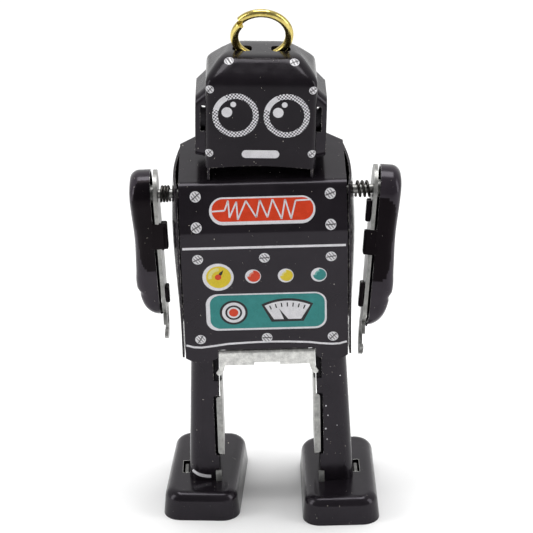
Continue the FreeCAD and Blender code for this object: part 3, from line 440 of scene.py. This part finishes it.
def head_section(z, front_in, back_in, side_in, radius):
    """Plan of the head at one height: a rounded box, a little wider at the front."""
    points = []
    for sx, sy, angle in ((1, 1, 0), (-1, 1, 90), (-1, -1, 180), (1, -1, 270)):
        half = HEAD_HALF - side_in - (0.9 * min(side_in / 2.0, 1.0) if sy > 0 else 0.0)
        edge_y = HEAD_BACK - back_in if sy > 0 else HEAD_FRONT + front_in
        cx, cy = sx * (half - radius), edge_y - sy * radius
        for i in range(7):
            a = math.radians(angle + 90 * i / 6)
            points.append((cx + radius * math.cos(a), cy + radius * math.sin(a)))
    full = []
    for i, (x, y) in enumerate(points):
        full.append((x, y))
        if (i + 1) % 7 == 0:
            next_x, next_y = points[(i + 1) % len(points)]
            full += [(x + (next_x - x) * k / 12, y + (next_y - y) * k / 12) for k in range(1, 12)]
    return full


def head_hem(x, y):
    """Height of the head's lower edge: arched under the chin, rising slowly to the back."""
    if y < -5:
        return 61.45 + 0.55 * math.cos(x / HEAD_HALF * math.pi / 2)
    return 61.9 + 0.09 * y


def ring_hole_plug(side, material):
    """A squarish upright plug where one leg of the brass ring passes the crown."""
    half_x, half_y = RING_HOLE_HALF
    outline = []
    for i in range(24):
        c, s = math.cos(2 * math.pi * (i + 0.5) / 24), math.sin(2 * math.pi * (i + 0.5) / 24)
        outline.append((side * RING_HOLE_X + half_x * math.copysign(abs(c) ** 0.5, c),
                        RING_HOLE_Y + half_y * math.copysign(abs(s) ** 0.5, s)))
    verts = []
    for height in (HEAD_TOP - 3.0, HEAD_TOP + 2.0):
        for x, y in outline:
            tx, tz = tilted(x, height)
            verts.append(place(tx, y, tz))
    faces = [(i, (i + 1) % 24, 24 + (i + 1) % 24, 24 + i) for i in range(24)]
    faces += [tuple(range(23, -1, -1)), tuple(range(24, 48))]
    plug = mesh_object("cutter", verts, faces, [material])
    tidy_normals(plug)
    return plug


def head_skin(material):
    """Face, crown and back of the head in one sheet, open at the sides below the crown."""
    rows = [(z, 0.0, 0.0, 0.0, HEAD_CORNER) for z in HEAD_ROWS] + list(CROWN)
    verts, faces = [], []
    for z, front_in, back_in, side_in, radius in rows:
        for x, y in head_section(z, front_in, back_in, side_in, radius):
            tx, tz = tilted(x, head_hem(x, y) if z == HEAD_ROWS[0] else z)
            verts.append(place(tx, y, tz))
    count = len(head_section(*rows[0]))
    for row in range(len(rows) - 1):
        for i in range(count):
            j = (i + 1) % count
            face = (row * count + i, row * count + j, (row + 1) * count + j, (row + 1) * count + i)
            middle = sum((verts[k] for k in face), Vector()) / 4 - MIDDLE
            open_side = -6.0 < middle.y / MM < 5.4 and rows[row][0] < HEAD_ROWS[-1]
            if not open_side:
                faces.append(face)
    last = (len(rows) - 1) * count
    top = len(verts)
    tx, tz = tilted(0, HEAD_TOP)
    verts.append(place(tx, (HEAD_FRONT + HEAD_BACK) / 2, tz))
    faces += [(last + i, last + (i + 1) % count, top) for i in range(count)]
    made = mesh_object("head_skin", verts, faces, [material], smooth=True)
    tidy_normals(made)
    pressed_sheet(made, HEAD_SHEET, [ring_hole_plug(side, material) for side in SIDES.values()])
    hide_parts("head_shell")
    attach(made, "root")
    return made


# ---- the printed face -------------------------------------------------------------------
EYE_X = 4.0
EYE_Z = 70.45
EYE_RADIUS = 3.62
EYE_BAND = 0.89
GLINTS = ((-1.34, 0.5, 0.83), (-0.36, 1.8, 0.45))      # x and z from the eye's middle, radius
MOUTH_Z = 64.0
MOUTH_HALF = (2.95, 0.66)
FACE_SCREW = 0.62
FACE_SCREWS = ((-8.0, 74.65, 50), (8.0, 74.65, 25), (-8.05, 64.1, 50), (8.05, 64.1, 35))
CROWN_SCREW = 0.74
CROWN_SCREW_Y = -4.4
CROWN_SCREW_Z = 78.6
CROWN_SCREWS = ((-5.1, 125), (5.1, 30))                # x, slant of the slot


def print_face(inks, skin):
    for name, side in SIDES.items():
        eye = Printing("face_eye_" + name, skin, inks, head=True)
        x = side * EYE_X
        inner = EYE_RADIUS - EYE_BAND
        eye.ring(x, EYE_Z, EYE_RADIUS, inner, "screened", 0, -240, 122)
        eye.ring(x, EYE_Z, EYE_RADIUS, inner, "white", 1, 118, 164)
        for dx, dz, radius in GLINTS:
            eye.disc(x + dx, EYE_Z + dz, radius, "white")
        eye.finish()
    face = Printing("face_mouth_and_screws", skin, inks, head=True)
    half_x, half_z = MOUTH_HALF
    face.fill(rounded_box(-half_x, half_x, MOUTH_Z - half_z, MOUTH_Z + half_z, 0.65), "white")
    for x, z, slant in FACE_SCREWS:
        face.screw(x, z, FACE_SCREW, slant)
    face.finish()
    crown = Printing("crown_screws", skin, inks, head=True, dip=45,
                     about=(CROWN_SCREW_Y, CROWN_SCREW_Z))
    for x, slant in CROWN_SCREWS:
        crown.screw(x, CROWN_SCREW_Z, CROWN_SCREW, slant)
    crown.finish()


# ---- the printed chest ------------------------------------------------------------------
CHEST_SCREW = 0.86
CHEST_SCREWS = ((-10.65, 57.7, 40), (10.65, 57.7, 20), (-10.65, 52.9, 30), (10.65, 52.9, 5),
                (-10.65, 47.3, 25), (0.0, 47.35, 5), (10.65, 47.3, 10),
                (-10.75, 32.4, 60), (0.1, 32.45, 0), (10.85, 32.4, 45))
UPPER_LINE = ((-13.0, 49.3), (0, 49.3), (13.0, 49.3))
LOWER_LINE = ((-13.1, 31.35), (-11.9, 30.95), (-10.6, 30.85), (-8.6, 31.1), (-6.3, 31.43),
              (-3.0, 31.6), (0.4, 31.68), (3.6, 31.6), (7.0, 31.4), (9.0, 31.1), (10.7, 30.95),
              (11.9, 31.0), (13.1, 31.35))
PULSE = ((-8.1, 55.35), (-6.1, 55.45), (-5.5, 57.0), (-5.35, 54.35), (-4.2, 56.8), (-4.05, 54.0),
         (-2.7, 56.9), (-1.1, 54.3), (-0.5, 56.95), (0.65, 54.25), (1.5, 57.05), (2.9, 53.95),
         (3.5, 57.0), (4.4, 53.95), (5.15, 56.75), (7.6, 56.85))
GAUGE = (-7.5, 44.0, 2.5)      # x, z, radius
NEEDLE_ANGLE = 56
NEEDLE = ((0.4, 0.2), (0.4, -0.2), (0.8, -0.26), (1.55, 0.0), (0.8, 0.26))   # along, across
LAMPS = (-1.9, 3.35, 8.65)
LAMP_RADIUS = 1.27
TARGET = (-5.2, 37.35, 2.27)
FAN_X = 3.5
FAN_PIVOT_Z = 31.0
FAN_TICKS = (7.25, 8.0)        # radii of their ends


def print_chest(inks):
    node = "torso_front_panel"
    screws = Printing("chest_screws", node, inks)
    for x, z, slant in CHEST_SCREWS:
        screws.screw(x, z, CHEST_SCREW, slant)
    screws.finish()

    lines = Printing("chest_lines", node, inks)
    lines.stroke(UPPER_LINE, 0.42, "white")
    lines.stroke(LOWER_LINE, 0.36, "white")
    lines.finish()

    pill = Printing("chest_pulse_panel", node, inks)
    pill.fill(rounded_box(-8.55, 8.25, 53.2, 57.5, 2.14), "white")
    pill.fill(rounded_box(-8.15, 7.95, 53.72, 57.25, 1.75), "red", 1)
    for start, end in zip(PULSE, PULSE[1:]):
        pill.stroke([start, end], 0.25, "white", 2)
    pill.finish()

    gauge = Printing("chest_gauge", node, inks)
    x, z, radius = GAUGE
    gauge.disc(x, z, radius, "white")
    gauge.disc(x + 0.08, z, radius * 0.80, "yellow", 1)
    gauge.ring(x + 0.08, z, radius * 0.68, radius * 0.44, "pale_yellow", 2, 88, 192)
    c, s = math.cos(math.radians(NEEDLE_ANGLE)), math.sin(math.radians(NEEDLE_ANGLE))
    gauge.fill([(x + c * along - s * across, z + s * along + c * across)
                for along, across in NEEDLE], "black", 3)
    gauge.disc(x, z, 0.52, "red", 4)
    gauge.finish()

    for x, shade in zip(LAMPS, ("red", "yellow", "teal")):
        lamp = Printing("chest_lamp_" + shade, node, inks)
        lamp.disc(x, GAUGE[1], LAMP_RADIUS, "white")
        lamp.disc(x + 0.12, GAUGE[1] + 0.03, LAMP_RADIUS * 0.82, shade, 1)
        lamp.ring(x + 0.12, GAUGE[1] + 0.03, LAMP_RADIUS * 0.83, LAMP_RADIUS * 0.40,
                  "pale_" + shade, 2, 92, 188)
        lamp.ring(x + 0.12, GAUGE[1] + 0.03, LAMP_RADIUS * 0.84, LAMP_RADIUS * 0.62,
                  "white", 3, 98, 180)
        lamp.finish()

    meter = Printing("chest_meter_panel", node, inks)
    meter.fill(rounded_box(-9.65, 9.85, 34.0, 40.85, 1.9), "white")
    meter.fill(rounded_box(-9.0, 9.55, 34.35, 40.6, 1.65), "teal", 1)
    x, z, radius = TARGET
    for share, shade, layer in ((1.0, "black", 2), (0.83, "white", 3), (0.60, "black", 4),
                                (0.46, "white", 5), (0.33, "red", 6)):
        meter.disc(x, z, radius * share, shade, layer)
    print_fan(meter)
    meter.finish()


def fan(radius, half_angle, low, half_low):
    """A dial window: an arched top, straight slanted sides and a flat bottom."""
    start, end = math.radians(90 - half_angle), math.radians(90 + half_angle)
    arch = circle(FAN_X, FAN_PIVOT_Z, radius, start, end, 16)
    return arch + [(FAN_X - half_low, low), (FAN_X + half_low, low)]


def print_fan(meter):
    meter.fill(fan(8.8, 28.5, 35.45, 2.6), "black", 2)
    meter.fill(fan(8.35, 26.2, 35.9, 2.2), "white", 3)
    for i in range(7):
        a = math.radians(69 + i * 7)
        meter.stroke([(FAN_X + r * math.cos(a), FAN_PIVOT_Z + r * math.sin(a)) for r in FAN_TICKS],
                     0.2, "black", 4)
    meter.fill([(2.15, 37.9), (2.95, 35.8), (3.7, 35.8)], "black", 4)


# ---- details of the legs and feet -------------------------------------------------------
FOOT_DECK_Z = 4.7
FOOT_SLOTS = {"left": (14.15, -5.05), "right": (13.75, -3.95)}     # |x| and y of the slot's corner
CHIPS = ((9.9, 17.1, 0.11), (9.6, 18.9, 0.13), (12.0, 24.4, 0.10), (9.5, 14.6, 0.15),
         (9.7, 12.6, 0.10), (11.4, 15.2, 0.07))                    # x, z, radius


def foot_piece(name, part, side, xs, ys, zs, material, rounding):
    """A small upright block of a foot; xs are distances from the middle, given outwards."""
    xs = sorted(side * x for x in xs)
    corners = [place(x, y, z) for x in xs for y in ys for z in zs]
    made = block("foot_" + name + "_" + part, corners, material, rounding, 2)
    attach(made, "leg_" + name)


def print_legs(inks):
    """A painted reflection: a curved white line low on the front of the right leg, above the foot;
    and chipped ink down the left one.
    """
    # painted reflection: white ink stands in for the glint low on the right leg's front
    band = Printing("leg_right_painted_reflection", "leg_right_shell", inks)
    line = [(-13.1 + 3.1 * i / 24, 5.45 + 0.95 * (1 - i / 24) ** 2) for i in range(25)]
    band.stroke(line, 0.6, "white")
    band.finish("leg_right")
    chips = Printing("leg_left_chips", "leg_left_shell", inks)
    for x, z, radius in CHIPS:
        chips.disc(x, z, radius, "white")
    chips.finish("leg_left")


def foot_details(rim, tab):
    """What shows in the slot beside each leg: the leg's folded tab and the slot's worn rim."""
    for name, side in SIDES.items():
        x, y = FOOT_SLOTS[name]
        foot_piece(name, "slot_tab", side, (x + 0.12, x + 0.8), (y + 0.5, y + 3.4),
                   (FOOT_DECK_Z - 1.2, FOOT_DECK_Z - 0.25), tab, 0.15)
        strips = (((x + 1.1, x + 1.2), (y - 0.1, y + 4.1)), ((x, x + 1.2), (y - 0.1, y)),
                  ((x, x + 1.2), (y + 4.0, y + 4.1)))
        for number, (xs, ys) in enumerate(strips):
            foot_piece(name, "slot_rim_%d" % number, side, xs, ys,
                       (FOOT_DECK_Z - 0.3, FOOT_DECK_Z + 0.03), rim, 0.03)


# ---- arms: pressed skins over the CAD shells ----------------------------------------------
SHOULDER_Z = 54.8
ARM_PLATE_X = {"left": 17.75, "right": 16.95}      # inner face of the bright plate
ARM_LEAN = {"left": 5.4, "right": 1.0}             # degrees, the hand towards the torso
ARM_SWING = {"left": 9.0, "right": -9.0}           # degrees, the hand forward where positive
ARM_RIM = 1.05                                     # from the plate's inner face to the skin's rim
ARM_TOP_RADIUS = 4.08
ARM_END_RADIUS = 3.48
ARM_TAPER = ARM_TOP_RADIUS - ARM_END_RADIUS
ARM_LENGTH = 19.5                                  # shoulder to the middle of the round end
ARM_ROUNDING = 1.45
ARM_SHEET = 0.3
WRIST_DROP = 17.3
# Below the shoulder: where each tab starts and ends, and how far it stands in from the plate.
WRAP = {"left": (6.0, 10.2, 0.85), "right": (3.4, 8.3, 1.2)}
LEAVES = {"left": ((1.2, 4.8, 0.95), (15.0, 19.2, 0.9)),
          "right": ((5.0, 8.8, 0.6), (16.2, 19.2, 0.8))}
ARM_PAINTED_SHADE = {"left": (0.3, 14.6), "right": (-4.3, 12.6)}      # ends of the painted shade down the front of the arm
ARM_PAINTED_SHADE_ROWS = 9                                    # rows of the skin that the painted shade covers where widest


def arm_place(name, x, y, drop):
    """A point of the hanging arm where the leaned and swung arm has it; x is from the inner
    face of the bright plate and drop is below the shoulder."""
    lean, swing = math.radians(ARM_LEAN[name]), math.radians(-ARM_SWING[name])
    side = SIDES[name]
    x, z = x * math.cos(lean) - drop * math.sin(lean), -x * math.sin(lean) - drop * math.cos(lean)
    y, z = y * math.cos(swing) - z * math.sin(swing), y * math.sin(swing) + z * math.cos(swing)
    return place(side * (ARM_PLATE_X[name] + x), y, SHOULDER_Z + z)


def arm_depth(drop):
    """How far the skin stands out from its rim: hollow along the forearm, creased at the wrist."""
    forearm = 3.50 - 0.30 * math.exp(-((drop - 7.0) / 5.0) ** 2)
    forearm += 0.10 * math.exp(-((drop - 15.2) / 1.3) ** 2)
    hand = 3.15 - 0.085 * max(drop - WRIST_DROP, 0.0) ** 1.8
    share = min(max((drop - WRIST_DROP + 0.45) / 0.9, 0.0), 1.0)
    share = share * share * (3 - 2 * share)
    crease = 0.28 * math.exp(-((drop - WRIST_DROP) / 0.42) ** 2)
    brow = 0.25 * math.exp(-((drop + 4.1) / 1.6) ** 2)
    return forearm * (1 - share) + hand * share - crease - brow


def arm_ring(inset, steps=22, runs=40):
    """Points (y, drop) around the arm's outline, drawn in by inset."""
    top, end = ARM_TOP_RADIUS - inset, ARM_END_RADIUS - inset
    turns = [math.pi * i / steps for i in range(steps + 1)]
    shares = [i / runs for i in range(1, runs)]
    points = [(top * math.cos(a), -top * math.sin(a)) for a in turns]
    points += [(-(top + (end - top) * share), ARM_LENGTH * share) for share in shares]
    points += [(-end * math.cos(a), ARM_LENGTH + end * math.sin(a)) for a in turns]
    points += [(top + (end - top) * share, ARM_LENGTH * share) for share in reversed(shares)]
    return points


def painted_shade_width(name, drop):
    """Width, as a share of the widest, of the painted shade down the front of the arm."""
    top, bottom = ARM_PAINTED_SHADE[name]
    across = (2 * drop - top - bottom) / (bottom - top)
    return math.sqrt(max(1 - across ** 4, 0.0)) * (1 - 0.18 * across)


def arm_skin(name, skin, painted_shade_tin):
    """The pressed black skin of one arm, from its rim over the rounding to the flat outside, with
    painted shade down the front of the arm.
    """
    rows = [(0.0, share) for share in (0.0, 0.2, 0.4, 0.6, 0.8)]
    rows += [(ARM_ROUNDING * (1 - math.cos(math.radians(a))), 1 + math.sin(math.radians(a)))
             for a in range(0, 91, 9)]
    rows += [(inset, 2.0) for inset in (1.9, 2.3, 2.7, 3.1, 3.4)]
    verts, faces, indices = [], [], []
    for inset, rise in rows:
        for y, drop in arm_ring(inset):
            wall = arm_depth(drop) - ARM_ROUNDING
            out = wall * min(rise, 1.0) + ARM_ROUNDING * max(rise - 1, 0.0)
            verts.append(arm_place(name, ARM_RIM + out, y, drop))
    outline = arm_ring(0)
    count = len(outline)
    for row in range(len(rows) - 1):
        for i, (y, drop) in enumerate(outline):
            j = (i + 1) % count
            faces.append((row * count + i, row * count + j,
                          (row + 1) * count + j, (row + 1) * count + i))
            # painted shade: these front faces get the darker, less reflective copy of the black tin
            hollow = y < -1.2 and row < ARM_PAINTED_SHADE_ROWS * painted_shade_width(name, drop)
            indices.append(1 if hollow else 0)
    last = (len(rows) - 1) * count
    faces.append(tuple(last + i for i in range(count)))
    indices.append(0)
    made = mesh_object("arm_" + name + "_skin", verts, faces, [skin, painted_shade_tin], indices, smooth=True)
    tidy_normals(made)
    pressed_sheet(made, ARM_SHEET)
    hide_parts("arm_" + name + "_shell")
    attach(made, "arm_" + name)


def arm_tab(name, part, xs, ys, drops, material, rounding=0.15):
    """A small rounded block of the arm; xs are distances out from the plate's inner face."""
    corners = [arm_place(name, x, y, drop) for x in xs for y in ys for drop in drops]
    made = block("arm_" + name + "_" + part, corners, material, rounding, 3)
    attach(made, "arm_" + name)


def arm_tabs(name, material):
    """Fold-over tabs of the skin: one wraps the plate's front edge, two leaves lie inside it."""
    high, low, out = WRAP[name]
    edge = -ARM_TOP_RADIUS + 0.02 + ARM_TAPER * (high + low) / 2 / ARM_LENGTH
    arm_tab(name, "wrap", (-out, ARM_RIM + 0.6), (edge, edge + 0.5), (high, low), material)
    arm_tab(name, "wrap_fold", (-out - 0.1, -0.25), (edge, edge + 1.6), (high + 0.2, low - 0.1),
            material, 0.3)
    for number, (high, low, out) in enumerate(LEAVES[name], 1):
        arm_tab(name, "leaf_%d" % number, (-out, -0.05), (edge + 0.35, edge + 2.1), (high, low),
                material, 0.28)


# ---- stage ------------------------------------------------------------------------------
CAMERA_ELEVATION = 25.0        # degrees
CAMERA_DISTANCE = 330.0        # millimetres
CAMERA_ROLL = 1.5              # degrees
CAMERA_LENS = 135.1
CAMERA_SENSOR = 36.0
CAMERA_TARGET = (0.3, 0.0, 41.3)
FLOOR_HALF = 3.0               # metres
SKY_LOW = (-0.6, 0.25)         # world direction along y, and the brightness there
SKY_HIGH = (0.9, 1.0)
LIGHT_TARGET = (0, 0, 40)
# name, place, width and height (millimetres), watts
LIGHTS = (("top_light", (0, 60, 620), (420, 300), 2.6),
          ("left_light", (-420, -120, 200), (160, 380), 0.7),
          ("right_light", (420, -120, 200), (160, 380), 0.7))


def add_camera():
    data = bpy.data.cameras.new("camera")
    data.lens = CAMERA_LENS
    data.sensor_width = CAMERA_SENSOR
    data.clip_start = 0.01
    camera = bpy.data.objects.new("camera", data)
    bpy.context.scene.collection.objects.link(camera)
    e = math.radians(CAMERA_ELEVATION)
    back = Vector((0, -math.cos(e), math.sin(e)))
    camera.location = place(*CAMERA_TARGET) + back * CAMERA_DISTANCE * MM
    tilt = Matrix.Rotation(math.pi / 2 - e, 4, "X")
    roll = Matrix.Rotation(math.radians(-CAMERA_ROLL), 4, "Z")
    camera.rotation_euler = (tilt @ roll).to_euler()
    bpy.context.scene.camera = camera


def area_light(name, spot, size, watts):
    data = bpy.data.lights.new(name, "AREA")
    data.shape = "RECTANGLE"
    data.size = size[0] * MM
    data.size_y = size[1] * MM
    data.energy = watts
    light = bpy.data.objects.new(name, data)
    bpy.context.scene.collection.objects.link(light)
    light.location = Vector(spot) * MM
    aim = Vector(LIGHT_TARGET) * MM - light.location
    light.rotation_euler = aim.to_track_quat("-Z", "Y").to_euler()


def add_floor():
    m = Nodes("floor_paper")
    cloud = m.noise(0.02, 2.0)
    m.set(Base_Color=m.mix(cloud, colour(0.93, 0.93, 0.93), colour(0.96, 0.96, 0.96)),
          Roughness=0.9)
    corners = [(x * FLOOR_HALF, y * FLOOR_HALF, 0) for x, y in ((-1, -1), (1, -1), (1, 1), (-1, 1))]
    mesh_object("floor", corners, [(0, 1, 2, 3)], [m.material])


def add_sky():
    """A white studio that grows darker behind the camera."""
    world = bpy.data.worlds.new("studio")
    bpy.context.scene.world = world
    world.use_nodes = True
    tree = world.node_tree
    coords = tree.nodes.new("ShaderNodeTexCoord")
    split = tree.nodes.new("ShaderNodeSeparateXYZ")
    tree.links.new(coords.outputs["Generated"], split.inputs[0])
    ramp = tree.nodes.new("ShaderNodeMapRange")
    tree.links.new(split.outputs["Y"], ramp.inputs["Value"])
    for end, (along, light) in (("Min", SKY_LOW), ("Max", SKY_HIGH)):
        ramp.inputs["From " + end].default_value = along
        ramp.inputs["To " + end].default_value = light
    back = tree.nodes["Background"]
    tree.links.new(ramp.outputs[0], back.inputs["Color"])
    back.inputs["Strength"].default_value = 1.0


# ---- everything -------------------------------------------------------------------------
add_camera()
add_floor()
for light in LIGHTS:
    area_light(*light)
add_sky()
bpy.context.scene.view_settings.view_transform = "Standard"

black = black_tin("black_printed_tin")
black_worn = black_tin("black_printed_tin_worn", 1.0)
bright = bright_tin("bright_tinplate")
dull = bright_tin("dull_tinplate", 0.52, 0.35)
ring_brass = brass("brass_wire")
gear_brass = brass("gear_brass", 0.28, (0.72, 0.52, 0.20))
spring = dark_steel("dark_spring_steel")

WORN = ("torso_left_panel", "torso_right_panel", "head_left_panel", "head_right_panel")
DULL = ("arm_left_plate", "arm_right_plate", "leg_left_plate", "leg_right_plate", "foot_left_tab",
        "foot_right_tab", "shoulder_left_rivet", "shoulder_right_rivet")
slot_material = {"black_tin": black, "bright_tin": bright, "brass_wire": ring_brass,
                 "gear_brass": gear_brass, "spring_steel": spring}
for row in frame["record"]["subparts"]:
    node = row["node"]
    wanted = slot_material[row["material_slot"]]
    if node in WORN:
        wanted = black_worn
    if node in DULL:
        wanted = dull
    mesh = frame["nodes"][node].data
    mesh.materials.clear()
    mesh.materials.append(wanted)

inks = {
    "white": ink("ink_white", (0.70, 0.69, 0.72)),
    "screened": halftone("ink_screened", (0.78, 0.77, 0.81), (0.05, 0.047, 0.055), 0.55),
    "silver": halftone("ink_silver", (0.74, 0.73, 0.75), (0.25, 0.245, 0.26), 0.42, False),
    "slot": ink("ink_slot", (0.09, 0.085, 0.09)),                # slots of the printed screws
    "black": ink("ink_black", (0.012, 0.010, 0.013)),
    "red": ink("ink_red", (0.62, 0.045, 0.010)),
    "yellow": ink("ink_yellow", (0.68, 0.52, 0.02)),
    "pale_yellow": ink("ink_pale_yellow", (0.72, 0.66, 0.25)),
    "pale_red": ink("ink_pale_red", (0.66, 0.25, 0.18)),
    "pale_teal": ink("ink_pale_teal", (0.16, 0.42, 0.38)),
    "teal": ink("ink_teal", (0.022, 0.22, 0.21)),
}
# painted shade: a darker copy of the black tin, ink tone 0.8 and reflections dimmed, keeps the
# crown and face dark
head_black_painted_shade = black_tin("black_head_skin_painted_shade", 0.6, 0.8, (0.72, 0.68, 0.74, 1.0))
print_face(inks, head_skin(head_black_painted_shade))
print_chest(inks)
print_legs(inks)
foot_details(bright_tin("worn_rim", 0.45, 0.4), bright_tin("brassy_tab", 0.3, 0.6))
# painted sheen: the arm skin's ink is 2.2 times lighter than the other black tin, standing in for
# the highlight along the arm's rounded outer edge
arm_black_painted_sheen = black_tin("black_arm_skin_painted_sheen", 0.7, 2.2)
# painted shade: a darker copy of the black tin with dimmed reflections, for the front of the arms
# and their tabs
arm_painted_shade_tin = black_tin("black_arm_painted_shade_tin", 0.2, 0.5, (0.25, 0.2, 0.22, 1.0))
for side_name in SIDES:
    arm_skin(side_name, arm_black_painted_sheen, arm_painted_shade_tin)
    # the fold-over tabs also get the painted-shade copy of the black tin
    arm_tabs(side_name, arm_painted_shade_tin)
